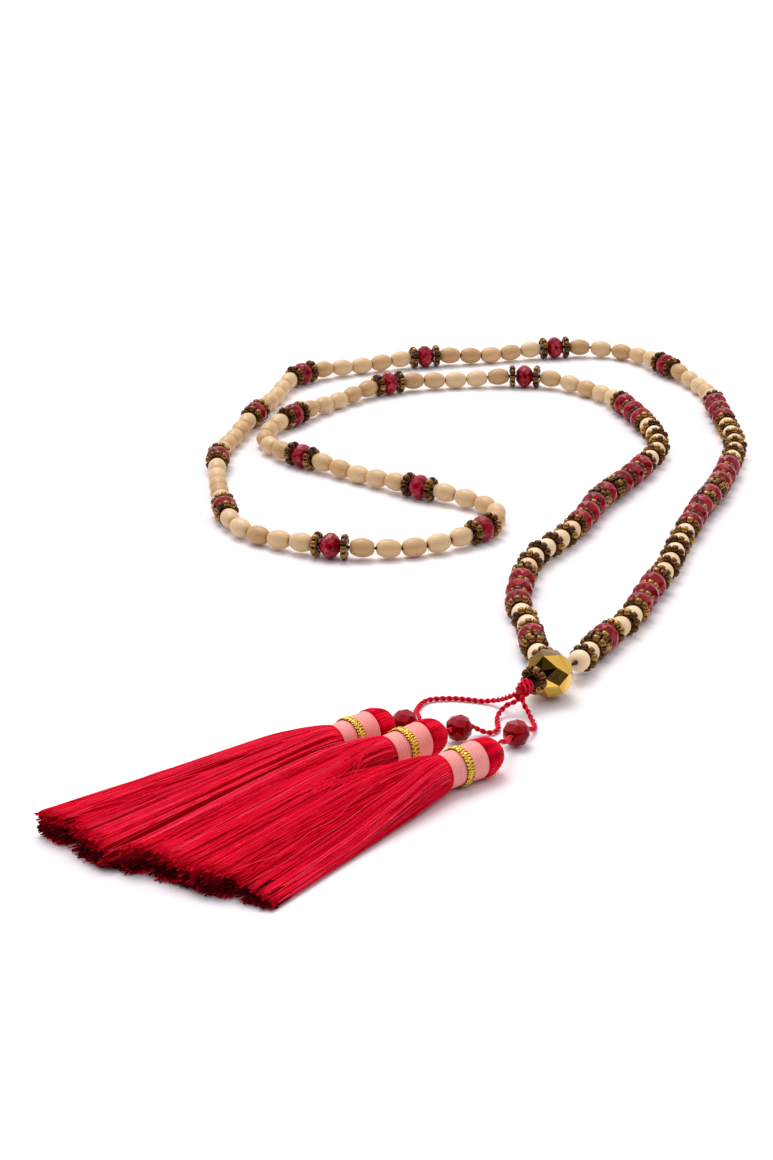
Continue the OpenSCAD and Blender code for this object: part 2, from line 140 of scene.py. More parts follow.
def turned_wood(dark, middle, light, roughness, coat):
    """Turned wood: long fibres along the bore, each bead cut from another stick"""
    def surface(m):
        grain = add(m, "ShaderNodeAttribute", attribute_name="grain")
        tone = add(m, "ShaderNodeAttribute", attribute_name="tone")
        # The attribute is in millimetres: fibres 0.5 mm wide and some 6 mm long, and
        # pores 0.1 mm wide and 1.2 mm long
        long_way = add(m, "ShaderNodeVectorMath", {0: grain.outputs["Vector"], 1: (1, 1, 0.09)},
                       operation="MULTIPLY")
        fibre = add(m, "ShaderNodeTexNoise", {"Vector": long_way.outputs[0], "Scale": 2.0,
                                              "Detail": 4, "Roughness": 0.65})
        pores = add(m, "ShaderNodeTexNoise", {"Vector": long_way.outputs[0], "Scale": 9.0,
                                              "Detail": 2, "Roughness": 0.6})
        mixed = add(m, "ShaderNodeMath", {0: fibre.outputs["Fac"], 1: 0.45}, operation="MULTIPLY")
        place = add(m, "ShaderNodeMath", {0: tone.outputs["Fac"], 1: 0.55, 2: mixed.outputs[0]},
                    operation="MULTIPLY_ADD")
        colour = add(m, "ShaderNodeValToRGB", {"Fac": place.outputs[0]},
                     stops=[(0.12, dark), (0.45, middle), (0.85, light)])
        speck = add(m, "ShaderNodeMapRange", {"Value": pores.outputs["Fac"], "From Min": 0.3,
                                              "From Max": 0.42, "To Min": 0.86, "To Max": 1})
        shade = add(m, "ShaderNodeVectorMath", {0: colour.outputs["Color"],
                                                "Scale": speck.outputs["Result"]},
                    operation="SCALE")
        bump = add(m, "ShaderNodeBump", {"Height": pores.outputs["Fac"], "Strength": 0.25,
                                         "Distance": 0.05 * MM})
        return {"Base Color": shade.outputs[0], "Roughness": roughness, "IOR": 1.5,
                "Coat Weight": coat, "Coat Roughness": 0.3, "Normal": bump.outputs["Normal"]}
    return surface


def cut_crystal(m):
    """Ruby crystal: machine-cut red glass. Each facet passes on another part of the
    light from within, which its own tone stands for, and is a small mirror outside"""
    # Streaks of light inside the glass, some 1.5 mm across
    place, _ = clouded_tone(m, 650.0, 1, 0.12)
    colour = add(m, "ShaderNodeValToRGB", {"Fac": place},
                 stops=[(0.15, "#62000A"), (0.42, "#9C0016"), (0.75, "#A81630"), (1, "#C45464")])
    return {"Base Color": colour.outputs["Color"], "Roughness": 0.08, "IOR": 1.54,
            "Specular IOR Level": 0.22}


def bronze_lustre(m):
    """Seed bead glass fired with a bronze lustre: dark metal that flashes gold"""
    # Patches of thinner lustre, about 0.6 mm across
    place, patch = clouded_tone(m, 1700.0, 2, 0.3)
    colour = add(m, "ShaderNodeValToRGB", {"Fac": place},
                 stops=[(0.2, "#482C16"), (0.7, "#724C26"), (1, "#AE8242")])
    rough = add(m, "ShaderNodeMapRange", {"Value": patch, "To Min": 0.14, "To Max": 0.3})
    return {"Base Color": colour.outputs["Color"], "Metallic": 0.8,
            "Roughness": rough.outputs["Result"]}


def gold_coat(m):
    """Cut glass under a vapour-deposited gold coat, with painted reflections on its facets:
    bright gold on some, and dark like smoked glass on others"""
    # Clouds in the coat, about 4 mm across
    place, cloud = clouded_tone(m, 260.0, 2, 0.12)
    colour = add(m, "ShaderNodeValToRGB", {"Fac": place},
                 stops=[(0.05, "#1C1206"), (0.35, "#6E5216"), (0.7, "#C48A26"), (1, "#EEC25E")])
    rough = add(m, "ShaderNodeMapRange", {"Value": cloud, "To Min": 0.04, "To Max": 0.12})
    return {"Base Color": colour.outputs["Color"], "Metallic": 1.0,
            "Roughness": rough.outputs["Result"]}


def drop_glass(m):
    """Dark ruby glass, cut and tumbled: deep red with a wet gloss"""
    # Depths in the glass, about 3 mm across
    place, _ = clouded_tone(m, 300.0, 1, 0.3)
    colour = add(m, "ShaderNodeValToRGB", {"Fac": place},
                 stops=[(0.15, "#740008"), (0.45, "#9E0012"), (1, "#A02C3C")])
    return {"Base Color": colour.outputs["Color"], "Roughness": 0.08, "IOR": 1.52,
            "Specular IOR Level": 0.12}


def spun_thread(deep, full, pale, roughness, gloss, sheen=0.0, glint=None):
    """Spun thread: fibres along the yarn, with painted light on their tops and painted shade
    between them. Threads of the highest tone show a painted glint"""
    def surface(m):
        # Bundles of fibres are too fine to show, so they are drawn four times as coarse
        place, fibre = clouded_tone(m, 1 / (FIBRE * 4 * MM), 3, 0.35)
        colour = add(m, "ShaderNodeValToRGB", {"Fac": place},
                     stops=[(0.2, deep), (0.65, full), (0.9, pale), (1, glint or pale)])
        bump = add(m, "ShaderNodeBump", {"Height": fibre, "Strength": 0.4,
                                         "Distance": FIBRE * 0.4 * MM})
        return {"Base Color": colour.outputs["Color"], "Roughness": roughness,
                "Sheen Weight": sheen, "Sheen Roughness": 0.4, "Sheen Tint": linear(pale),
                "Specular IOR Level": gloss, "Normal": bump.outputs["Normal"]}
    return surface


def film_yarn(m):
    """Gold film yarn: flat metallised film wound on a yarn, which glitters turn by turn"""
    tone = add(m, "ShaderNodeAttribute", attribute_name="tone")
    here = add(m, "ShaderNodeTexCoord")
    # Turns of film 0.3 mm wide, each tipped another way
    turn = add(m, "ShaderNodeTexVoronoi", {"Vector": here.outputs["Object"], "Scale": 3300.0})
    place = add(m, "ShaderNodeMath", {0: turn.outputs["Distance"], 1: -0.5, 2: tone.outputs["Fac"]},
                operation="MULTIPLY_ADD")
    colour = add(m, "ShaderNodeValToRGB", {"Fac": place.outputs[0]},
                 stops=[(0, "#523600"), (0.25, "#C88C0A"), (0.7, "#FFDE68")])
    bump = add(m, "ShaderNodeBump", {"Height": turn.outputs["Distance"], "Strength": 0.9,
                                     "Distance": 0.15 * MM})
    return {"Base Color": colour.outputs["Color"], "Metallic": 1.0, "Roughness": 0.28,
            "Normal": bump.outputs["Normal"]}


def floor_paper(m):
    """Matt white paper sweep with a barely seen tooth of about 1 mm"""
    here = add(m, "ShaderNodeTexCoord")
    tooth = add(m, "ShaderNodeTexNoise", {"Vector": here.outputs["Object"], "Scale": 900.0})
    bump = add(m, "ShaderNodeBump", {"Height": tooth.outputs["Fac"], "Strength": 0.05,
                                     "Distance": 0.05 * MM})
    return {"Base Color": linear("#F7F5FA"), "Roughness": 0.75,
            "Specular IOR Level": 0.2, "Normal": bump.outputs["Normal"]}


FINISHES = {
    "oval_wood": finish_named("turned_tan_wood", turned_wood("#B5834E", "#D6AC78", "#EBCB9C",
                                                             0.42, 0.15)),
    "round_wood": finish_named("raw_pale_wood", turned_wood("#DEAE7E", "#F3CFA2", "#FCE2C2",
                                                            0.55, 0.05)),
    "ruby_crystal": finish_named("machine_cut_ruby_crystal", cut_crystal),
    "bronze_seed": finish_named("bronze_lustre_glass", bronze_lustre),
    "gold_glass": finish_named("gold_coated_cut_glass", gold_coat),
    "dark_ruby_glass": finish_named("tumbled_ruby_glass", drop_glass),
    "red_cord": finish_named("twisted_red_silk_cord",
                             spun_thread("#6A000E", "#D40020", "#EE3854", 0.5, 0.05)),
    # Its glint colour is a painted highlight, worn by the palest threads
    "red_silk": finish_named("combed_red_silk_floss",
                             spun_thread("#48000A", "#E40024", "#F01C42", 0.45, 0.02, glint="#FF4A66")),
    "pink_floss": finish_named("wound_pink_floss",
                               spun_thread("#FF7670", "#FFA8A0", "#FFD0CA", 0.42, 0.15, 0.05)),
    "gold_lurex": finish_named("plaited_gold_film_yarn", film_yarn),
    "brown_thread": finish_named("waxed_brown_thread",
                                 spun_thread("#361610", "#64301F", "#8A5038", 0.6, 0.2)),
}


# Making meshes

def full_turn(count):
    """Even angles round a full turn"""
    return np.arange(count) * 2 * np.pi / count


def any_turn():
    """Random angle up to a full turn"""
    return rng.uniform(0, 6.28)


def unit(vectors):
    """Vectors brought to a length of one"""
    return vectors / np.linalg.norm(vectors, axis=-1, keepdims=True)


def grown(share, speed):
    """Grows from 0 with this speed as the share does, and stays at 1"""
    return np.minimum(1, share * speed)


def bearing(direction, rise=0):
    """Unit vector from a direction in plan and a rise, both in degrees"""
    turn, lift = math.radians(direction), math.radians(rise)
    return np.array([math.cos(turn) * math.cos(lift), math.sin(turn) * math.cos(lift),
                     math.sin(lift)])


def middle_of(low, high):
    """Middle of a node's box, in millimetres"""
    return (np.array(low) + np.array(high)) / 2 / MM


def lofts(rings):
    """Closed skins over many tubes at once: rings[tube, ring, point]"""
    tubes, along, around = rings.shape[:3]
    at = np.arange(tubes * along * around).reshape(tubes, along, around)
    a, b = at[:, :-1], at[:, 1:]
    sides = np.stack([a, np.roll(a, -1, 2), np.roll(b, -1, 2), b], -1).reshape(-1, 4)
    ends = np.concatenate([at[:, 0, ::-1], at[:, -1]])
    return rings.reshape(-1, 3), sides.tolist() + ends.tolist()


def turned(profile, sides):
    """Solid turned round Z from a closed profile of (radius, height) points"""
    angle = full_turn(sides)
    radius, height = np.hsplit(np.asarray(profile, float), 2)
    points = np.stack([radius * np.cos(angle), radius * np.sin(angle), height * np.ones(sides)], -1)
    at = np.arange(len(profile) * sides).reshape(len(profile), sides)
    b = np.roll(at, -1, 0)
    faces = np.stack([at, np.roll(at, -1, 1), np.roll(b, -1, 1), b], -1).reshape(-1, 4)
    return points.reshape(-1, 3), faces.tolist()


def across(path, up=UP):
    """Two directions across a path: to its side and to its top"""
    ahead = unit(np.gradient(path, axis=-2))
    side = unit(np.cross(ahead, up))
    return side, np.cross(side, ahead)


def tubes(path, radius, sides):
    """Rings of a tube round each path"""
    side, top = across(path)
    angle = full_turn(sides)
    radius = np.asarray(radius, float)[..., None, None]
    wide, high = np.sin(angle)[:, None], np.cos(angle)[:, None]
    return path[..., None, :] + radius * (high * top[..., None, :] + wide * side[..., None, :])


def gather(parts, by_face):
    """Many meshes as one: each part is points, faces and one tone, or a tone for each
    point or face, and the places of its points in the wood if it has grain"""
    points, faces, tones, grains, start = [], [], [], [], 0
    for shape, skin, tone, *grain in parts:
        points.append(shape)
        faces += [[corner + start for corner in face] for face in skin]
        tones.append(np.broadcast_to(tone, len(skin if by_face else shape)))
        grains.append(grain[0] if grain else shape)
        start += len(shape)
    return np.concatenate(points), faces, np.concatenate(tones), np.concatenate(grains)


def piece(name, parts, slot, nodes, cut=False, from_guru=True):
    """Piece of the necklace in place of CAD nodes, finished as its slot says. A cut
    piece has flat facets with a tone each. Its points are measured from the guru bead,
    or else from the middle of the necklace"""
    points, faces, tones, grains = gather(parts, cut)
    if from_guru:
        points = points - MIDDLE
    mesh = bpy.data.meshes.new(name)
    mesh.from_pydata((points * MM).tolist(), [], faces)
    mesh.polygons.foreach_set("use_smooth", [not cut] * len(faces))
    tone = mesh.attributes.new("tone", "FLOAT", "FACE" if cut else "POINT")
    tone.data.foreach_set("value", tones)
    grain = mesh.attributes.new("grain", "FLOAT_VECTOR", "POINT")
    grain.data.foreach_set("vector", grains.ravel())
    mesh.materials.append(FINISHES[slot])
    made = put(name, mesh)
    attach(made, "root")
    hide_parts(*nodes)
    return made


# Cords

CORD_D = 1.5
# Length in which the two plies turn once round each other
CORD_LAY = 3.5
CORD_STEP = 0.16
PLY_R, PLY_SIDES = 0.41, 14
# Points of each cord's route from the knot to its tassel
CORD_ROUTES = {
    "a": [(-9.7, -11.4, 5.8), (-10.9, -10.4, 4.8), (-12.1, -8.9, 3.6), (-13.5, -7.1, 2.4),
          (-15.4, -5.4, 1.4), (-17.9, -4.4, 0.8), (-21.2, -3.5, 0.8), (-25, -2.7, 0.8),
          (-29, -2.8, 0.8), (-32.3, -3.8, 0.8), (-34.3, -6.6, 0.8), (-35.3, -10.4, 1.1),
          (-35.7, -14.2, 1.9), (-35.4, -17.9, 2.6), (-35, -21.2, 3.2), (-35.3, -22.6, 3.4),
          (-36.1, -23.5, 3.5), (-37.3, -24.3, 3.6), (-38.8, -25.4, 3.9), (-40.3, -26.5, 4.2),
          (-41.3, -27.2, 4.4), (-42, -27.6, 4.8)],
    "b": [(-8.3, -11.4, 4.6), (-9.6, -12, 3.9), (-11.2, -11.9, 3.2), (-12.7, -12.8, 2.3),
          (-13.9, -14.7, 1.5), (-14.4, -17, 1), (-14.4, -19.3, 0.8), (-14.3, -21.4, 0.8),
          (-14.6, -23.3, 0.8), (-15.5, -24.7, 0.8), (-17, -25.2, 0.9), (-18.7, -25, 1.3),
          (-20.2, -25, 2), (-21.6, -25.7, 2.9), (-22.7, -26.8, 3.5), (-24.8, -29.4, 4.1),
          (-26.9, -32, 4.7), (-28.9, -34.4, 5.2)],
    "c": [(-7.8, -12.4, 5.8), (-7.6, -13.2, 4.8), (-7.1, -14, 3.6), (-6.3, -14.9, 2.5),
          (-5.6, -16.4, 1.5), (-5, -18.4, 0.9), (-4.8, -20.8, 0.8), (-5.1, -23.3, 1.2),
          (-5.9, -25.6, 2), (-7.1, -27.3, 2.9), (-8.6, -28.9, 3.6), (-10.1, -31.8, 3.8),
          (-11.6, -34.8, 4), (-12.4, -37.4, 4.4), (-12.9, -40.2, 5.3), (-13.4, -42.8, 6.4),
          (-14.1, -45, 7.3), (-14.9, -46, 7.6)],
}


def smoothed(route):
    """Even points of a smooth curve through a cord's route, and the cord's length"""
    p = np.array(route, float)
    p = np.concatenate([[2 * p[0] - p[1]], p, [2 * p[-1] - p[-2]]])
    t = np.linspace(0, 1, 24, endpoint=False)[:, None]
    bends = [0.5 * (2 * q + (r - o) * t + (2 * o - 5 * q + 4 * r - s) * t ** 2
                    + (3 * q - o - 3 * r + s) * t ** 3)
             for o, q, r, s in zip(p, p[1:], p[2:], p[3:])]
    line = np.concatenate(bends + [p[-2:-1]])
    run = np.concatenate([[0], np.cumsum(np.linalg.norm(np.diff(line, axis=0), axis=1))])
    even = np.linspace(0, run[-1], round(run[-1] / CORD_STEP))
    return np.stack([np.interp(even, run, line[:, k]) for k in range(3)], 1), run[-1]


def plied(path, length, up=UP):
    """Two plies of cord twisted round each other along a path"""
    off = CORD_D / 2 - PLY_R
    angle = full_turn(PLY_SIDES)
    reach = off * np.abs(np.cos(angle)) + np.sqrt(PLY_R ** 2 - (off * np.sin(angle)) ** 2)
    side, top = across(path, up)
    turn = np.linspace(0, length / CORD_LAY, len(path))[:, None] * 2 * np.pi + angle
    rings = path[:, None] + reach[:, None] * (np.cos(turn)[..., None] * top[:, None]
                                              + np.sin(turn)[..., None] * side[:, None])
    points, faces = lofts(rings[None])
    # Painted shade: each ply is darker where it lies deep in the groove between the plies
    return points, faces, np.tile(0.2 + 0.5 * (reach - reach.min()) / np.ptp(reach), len(path))


for letter, route in CORD_ROUTES.items():
    line, length = smoothed(route)
    cord = piece("silk_cord_" + letter, [plied(line, length)], "red_cord", ["cord_" + letter])


# String of beads

BORE_R = 0.8
# The drilled bore of a wood bead closes on the thread this far inside its ends
THREAD_BORE_R, LIP = 0.55, 0.12
# Width of the rim round the drilled bore
RIM = 0.25
# Length, diameter and radius of the flank
OVAL_LEN, OVAL_D, OVAL_FLANK = 7.6, 6.0, 5.9
ROUND_LEN, ROUND_D, ROUND_FLANK = 6.3, 6.0, 5.0
WOOD_ROWS, WOOD_SIDES = 17, 26
# How far along and across its stick a wood bead may come from
STICK = 60
CRYSTAL_LEN, CRYSTAL_SIDES = 6.0, 12
# Radii of a crystal's end table, shoulder and belt, and how high two of them lie as
# shares of its half length
TABLE_R, SHOULDER_R, BELT_R = 1.75, 3.2, 4.0
SHOULDER_SHARE, BELT_SHARE = 0.64, 0.24
# Tones of deep, middling and pale facets, and the shares of deep and of pale ones
FACET_TONES = np.array([0.16, 0.42, 0.74])
DEEP_SHARE, PALE_SHARE = 0.3, 0.25
RING_D, RING_T = 8.3, 2.3
# Seed beads in a row, and the middle radius, half thickness and half length of
# one's wall
SEEDS, WALL_R, HALF_WALL, HALF_SEED = 9, 0.73, 0.42, 0.99
SEED_ROWS, SEED_SIDES = 8, 10
# How much nearer to the thread the seed beads lie in a ring that sinks between
# crystals, and their size there as a share
SUNK_BY, SUNK_SIZE = 0.45, 0.84
# The thread inside a ring, and how much it stays below the ring's faces
HUB_R, HUB_SHORT, HUB_SIDES = 2.1, 0.35, 20
# A bead's end looks towards the nearest bead within this many degrees
END_TILT = 28
# Cosine from which two facets look the same way
SAME_WAY = 0.9999


def solids_of(node):
    """Middle, outward areas and corner points of each separate solid in a CAD node"""
    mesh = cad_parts[node].data
    points = np.empty(len(mesh.vertices) * 3)
    mesh.vertices.foreach_get("co", points)
    points = points.reshape(-1, 3) / MM
    mesh.calc_loop_triangles()
    corners = np.empty(len(mesh.loop_triangles) * 3, int)
    mesh.loop_triangles.foreach_get("vertices", corners)
    corners = corners.reshape(-1, 3)
    _, same = np.unique(np.round(points, 3), axis=0, return_inverse=True)
    same = same.ravel()
    # Triangles that meet take the lowest label among them, until no label changes
    tri = same[corners]
    label = np.arange(same.max() + 1)
    while True:
        low = label[tri].min(1)
        new = label.copy()
        np.minimum.at(new, tri.ravel(), np.repeat(low, 3))
        new = new[new]
        if (new == label).all():
            break
        label = new
    triangles = points[corners]
    area = np.cross(triangles[:, 1] - triangles[:, 0], triangles[:, 2] - triangles[:, 0]) / 2
    middle = triangles.mean(1)
    kin = label[tri[:, 0]]
    found = []
    for one in np.unique(kin):
        mine = kin == one
        size = np.linalg.norm(area[mine], axis=1)
        centre = (middle[mine] * size[:, None]).sum(0) / size.sum()
        found.append((centre, area[mine], triangles[mine].reshape(-1, 3)))
    return found


def bead_places():
    """Middle, bore direction and length of every bead, by CAD node. The bore runs
    square to the largest flat face that looks towards the nearest bead"""
    nodes = ["oval_wood_beads", "round_wood_beads", "crystal_beads", "spacer_rings"]
    solids = {node: solids_of(node) for node in nodes}
    middles = np.array([solid[0] for node in nodes for solid in solids[node]])
    found = {node: [] for node in nodes}
    for node in nodes:
        for centre, area, corners in solids[node]:
            off = middles - centre
            gap = np.linalg.norm(off, axis=1)
            # A bead is no neighbour of its own
            gap[gap < 0.1] = np.inf
            guess = off[gap.argmin()] / gap.min()
            size = np.linalg.norm(area, axis=1)
            outward = area / size[:, None]
            near = np.abs(outward @ guess) > math.cos(math.radians(END_TILT))
            outward, size = outward[near] * np.sign(outward[near] @ guess)[:, None], size[near]
            share = ((outward @ outward.T > SAME_WAY) * size).sum(1)
            flat = outward @ outward[share.argmax()] > SAME_WAY
            axis = unit((outward[flat] * size[flat, None]).sum(0))
            found[node].append((centre, axis, np.ptp(corners @ axis)))
    return found


def stood(points, centre, axis, turn=0.0):
    """Points made round Z, turned and set along an axis"""
    c, s = math.cos(turn), math.sin(turn)
    points = points @ np.array([[c, s, 0], [-s, c, 0], [0, 0, 1]])
    side = unit(np.cross(UP, axis))
    return centre + points @ np.array([side, np.cross(axis, side), axis])


def wood_profile(length, d, flank):
    """Closed outline of a turned bead: its flank between two rounded ends, and its bore"""
    half = length / 2
    end = math.hypot(half, BORE_R + RIM)
    heights = half * np.sin(np.linspace(-1, 1, WOOD_ROWS) * np.pi / 2)
    flanks = d / 2 - flank + np.sqrt(flank ** 2 - heights ** 2)
    ball = np.sqrt(end ** 2 - heights ** 2)
    bore = [(THREAD_BORE_R, half - LIP), (THREAD_BORE_R, LIP - half)]
    return list(zip(np.minimum(flanks, ball), heights)) + bore


BEADS = bead_places()


def wood_string(node, length, d, flank, tones):
    """Turned wood beads, each with its own size, tone and place in the stick"""
    points, faces = turned(wood_profile(length, d, flank), WOOD_SIDES)
    parts = []
    for centre, axis, _ in BEADS[node]:
        shape = points * (1 + rng.uniform(-0.012, 0.004))
        parts.append((stood(shape, centre, axis, any_turn()), faces,
                      rng.uniform(*tones), points + rng.uniform(-STICK, STICK, 3)))
    return parts


piece("oval_beads", wood_string("oval_wood_beads", OVAL_LEN, OVAL_D, OVAL_FLANK, (0.1, 1.0)),
      "oval_wood", ["oval_wood_beads"], from_guru=False)
piece("round_beads", wood_string("round_wood_beads", ROUND_LEN, ROUND_D, ROUND_FLANK, (0.3, 1.0)),
      "round_wood", ["round_wood_beads"], from_guru=False)


def cut_bead(rows, n):
    """Bead cut in triangles between its rows. A row is its radius, its height and
    whether it is turned by half a facet"""
    turn = np.pi / n
    points = []
    for radius, height, odd in rows:
        angle = np.arange(n) * 2 * turn + odd * turn
        points.append(np.stack([radius * np.cos(angle), radius * np.sin(angle),
                                np.full(n, height)], 1))
    faces = []
    for i in range(len(rows)):
        j = (i + 1) % len(rows)
        lag = rows[j][2] - rows[i][2]
        for k in range(n):
            a, b = i * n + k, i * n + (k + 1) % n
            c, e = j * n + k, j * n + (k + 1) % n
            if lag == 0:
                faces.append([a, c, e, b])
            elif lag > 0:
                faces += [[a, c, b], [c, e, b]]
            else:
                faces += [[a, c, e], [a, e, b]]
    return np.concatenate(points), faces


def rondelle():
    """Cut rondelle: a table at each end, two rows of sloping facets and a belt"""
    half = CRYSTAL_LEN / 2
    shoulder, belt = half * SHOULDER_SHARE, half * BELT_SHARE
    return cut_bead([(BORE_R, half, 0), (TABLE_R, half, 0), (SHOULDER_R, shoulder, 1),
                     (BELT_R, belt, 0), (BELT_R, -belt, 1), (SHOULDER_R, -shoulder, 0),
                     (TABLE_R, -half, 1), (BORE_R, -half, 1)], CRYSTAL_SIDES)


def facet_tones(faces):
    """Tone of each facet: most are middling, some deep and some pale"""
    kind = rng.choice(3, len(faces), p=[DEEP_SHARE, 1 - DEEP_SHARE - PALE_SHARE, PALE_SHARE])
    return FACET_TONES[kind] + rng.uniform(-0.08, 0.08, len(faces))


points, faces = rondelle()
piece("crystal_rondelles",
      [(stood(points, centre, axis, rng.uniform(0, 0.5)), faces, facet_tones(faces))
       for centre, axis, _ in BEADS["crystal_beads"]],
      "ruby_crystal", ["crystal_beads"], cut=True, from_guru=False)


def seed_ring(centre, axis, rows, bore_r, sunk=False):
    """Rows of small round glass beads threaded into a ring, with the thread inside.
    Between two crystals the ring is pulled tight and sinks between them"""
    angle = full_turn(SEED_ROWS)
    wall = np.stack([WALL_R + HALF_WALL * np.cos(angle),
                     HALF_SEED * np.sign(np.sin(angle)) * np.abs(np.sin(angle)) ** 0.8], 1)
    seed, faces = turned(wall, SEED_SIDES)
    reach, size = (RING_D - RING_T) / 2, 1.0
    if sunk:
        reach, size = reach - SUNK_BY, SUNK_SIZE
    parts = []
    for row in range(rows):
        height = (row - (rows - 1) / 2) * RING_T
        for place in any_turn() + full_turn(SEEDS):
            out = np.array([math.cos(place), math.sin(place), 0])
            tangent = np.array([-math.sin(place), math.cos(place), 0])
            local = seed @ np.array([out, -UP, tangent]) * (size * rng.uniform(0.95, 1.0))
            local += out * (reach + rng.uniform(-0.06, 0)) + UP * height
            parts.append((stood(local, centre, axis), faces, rng.uniform(0.1, 0.9)))
    high = rows * RING_T / 2 - HUB_SHORT
    hub, skin = turned([(bore_r, -high), (HUB_R, -high), (HUB_R, high), (bore_r, high)], HUB_SIDES)
    parts.append((stood(hub, centre, axis), skin, 0.0))
    return parts


rings = []
crystals = np.array([place[0] for place in BEADS["crystal_beads"]])
for centre, axis, thick in BEADS["spacer_rings"]:
    beside = (np.linalg.norm(crystals - centre, axis=1) < CRYSTAL_LEN / 2 + RING_T).sum()
    rings += seed_ring(centre, axis, round(thick / RING_T), BORE_R, sunk=beside == 2)
piece("seed_bead_rings", rings, "bronze_seed", ["spacer_rings"], from_guru=False)


# Guru and drop beads

# Direction in plan of the guru bead, its collar and the knot, and the bead's rise
GURU_DIR, GURU_RISE = 233, 5
GURU_LEN, GURU_D, GURU_BORE_R, GURU_SIDES, GURU_Z = 12.2, 13.6, 1.3, 7, 6.84729
DROP_LEN, DROP_D, DROP_BORE_R, DROP_SIDES = 6.6, 7.3, 1.1, 8
# Place, direction and rise of each drop bead
DROPS = {"a": ((-38.8, -25.4, 3.9), 215, 8), "b": ((-24.8, -29.4, 4.1), 231, 10),
         "c": ((-10.1, -31.8, 3.8), 243, 4)}

guru_axis = bearing(GURU_DIR, GURU_RISE)
collar_middle = middle_of(*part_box("guru_collar"))
piece("guru_seed_collar", seed_ring(collar_middle, guru_axis, 1, GURU_BORE_R), "bronze_seed",
      ["guru_collar"], from_guru=False)


def belted_bead(length, d, bore_r, sides, middle, axis):
    """Bead with a table at each end, a band of shoulder facets and a narrow belt"""
    half, shoulder, belt = length / 2, length * 0.28, length * 0.05
    table_r, shoulder_r = d * 0.22, d * 0.43
    points, faces = cut_bead([(bore_r, half, 0), (table_r, half, 0), (shoulder_r, shoulder, 1),
                              (d / 2, belt, 0), (d / 2, -belt, 0), (shoulder_r, -shoulder, 1),
                              (table_r, -half, 0), (bore_r, -half, 0)], sides)
    return stood(points, np.array(middle), axis, -math.pi / 2), faces


def facing(points, faces):
    """Outward unit vector of each facet"""
    corners = points[np.array([face[:3] for face in faces])]
    out = unit(np.cross(corners[:, 1] - corners[:, 0], corners[:, 2] - corners[:, 0]))
    away = ((corners.mean(1) - points.mean(0)) * out).sum(1)
    return out * np.sign(away)[:, None]


def painted_reflection_tones(out):
    """Painted reflection of the room on facets that look this way: black at the front,
    bright on the right, brown on top, and middling on the rest"""
    front, right, top = out @ bearing(245, 25), out @ bearing(320, 5), out[:, 2]
    return np.select([front > 0.84, right > 0.45, top > 0.5], [0.0, 0.9, 0.35], 0.65)


points, faces = belted_bead(GURU_LEN, GURU_D, GURU_BORE_R, GURU_SIDES, (0, 0, GURU_Z), guru_axis)
# Painted reflections on the gold facets, with a little random spread
coat = painted_reflection_tones(facing(points, faces)) + rng.uniform(-0.08, 0.08, len(faces))
piece("gold_guru_bead", [(points, faces, coat)], "gold_glass", ["guru_bead"], cut=True)
for letter, (middle, direction, rise) in DROPS.items():
    points, faces = belted_bead(DROP_LEN, DROP_D, DROP_BORE_R, DROP_SIDES, middle,
                                bearing(direction, rise))
    # Painted reflection of the bright ceiling: facets that look up are the palest
    pale = np.clip(facing(points, faces)[:, 2], 0, 1) ** 2 * 0.7 + rng.uniform(0, 0.2, len(faces))
    piece("ruby_drop_bead_" + letter, [(points, faces, pale)], "dark_ruby_glass",
          ["drop_bead_" + letter], cut=True)


# Knot

KNOT_D, KNOT_LEN, KNOT_TURNS, KNOT_RISE = 4.6, 4.8, 3.1, -25
KNOT_STEPS = 260
# Radius of the bundle of bound cords at both ends, and how far it comes out of the knot
BUNDLE_START_R, BUNDLE_END_R, BUNDLE_OUT = 1.45, 1.1, 1.3
BUNDLE_STEPS, BUNDLE_SIDES = 12, 16


def wound_knot():
    """Cord wound three times round the cords that it binds"""
    axis = bearing(GURU_DIR, KNOT_RISE)
    middle = middle_of(*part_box("cord_knot"))
    side = unit(np.cross(axis, UP))
    top = np.cross(side, axis)
    t = np.linspace(0, 1, KNOT_STEPS)
    angle = t * KNOT_TURNS * 2 * np.pi
    # The first and last turns are drawn in
    reach = (KNOT_D - CORD_D) / 2 - 0.3 * np.abs(2 * t - 1) ** 3
    line = (middle + (t - 0.5)[:, None] * (KNOT_LEN - CORD_D) * axis
            + reach[:, None] * (np.cos(angle)[:, None] * side + np.sin(angle)[:, None] * top))
    length = np.linalg.norm(np.diff(line, axis=0), axis=1).sum()
    # The cords that it binds leave it in one bundle before they part
    along = np.linspace(0.3 - KNOT_LEN / 2, KNOT_LEN / 2 + BUNDLE_OUT, BUNDLE_STEPS)
    bundle = middle + along[:, None] * axis
    radius = np.linspace(BUNDLE_START_R, BUNDLE_END_R, BUNDLE_STEPS)
    core = tubes(bundle[None], radius, BUNDLE_SIDES)
    return [plied(line, length, axis), (*lofts(core), 0.25)]


piece("wound_knot", wound_knot(), "red_cord", ["cord_knot"], from_guru=False)


# Tassels

# Gap between a wrap and its neighbours
FIT = 0.1
CAP_D, CAP_LEN, CAP_COLUMNS, CAP_RIDGES = 10.4, 7.8, 360, 52
WRAP_D, WRAP_LEN, WRAP_WALL, WRAP_TAPER = 9.9, 12.0, 0.8, 0.8
